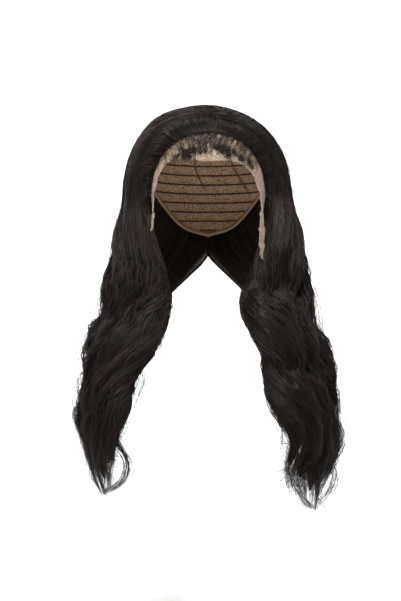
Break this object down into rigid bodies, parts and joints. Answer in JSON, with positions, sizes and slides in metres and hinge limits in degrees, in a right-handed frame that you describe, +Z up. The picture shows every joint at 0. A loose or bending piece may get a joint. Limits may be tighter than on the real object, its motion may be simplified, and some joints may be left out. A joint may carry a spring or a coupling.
{
  "type": "lace front wig",
  "caption": "Long wavy black wig with a lace front panel, a stretch cap and short curled baby hair along the hairline.",
  "frame": {"origin": "inside of the cap at the crown, where the top of the wearer's head touches", "axes": "+Z up, -Y the way the face looks, +X the wearer's left"},
  "size_m": [0.3294, 0.2474, 0.5054],
  "materials": {
    "hair": "natural black hair with a soft satin shine",
    "lace": "matte skin-tone net",
    "cap_net": "matte stretch net"
  },
  "bodies": {
    "root": {"cap": "cap_net", "lace_front": "lace", "hair_front_left": "hair", "hair_front_right": "hair", "hair_side_left": "hair", "hair_side_right": "hair", "hair_back_left": "hair", "hair_back_right": "hair", "baby_hair_left": "hair", "baby_hair_right": "hair"}
  },
  "joints": []
}
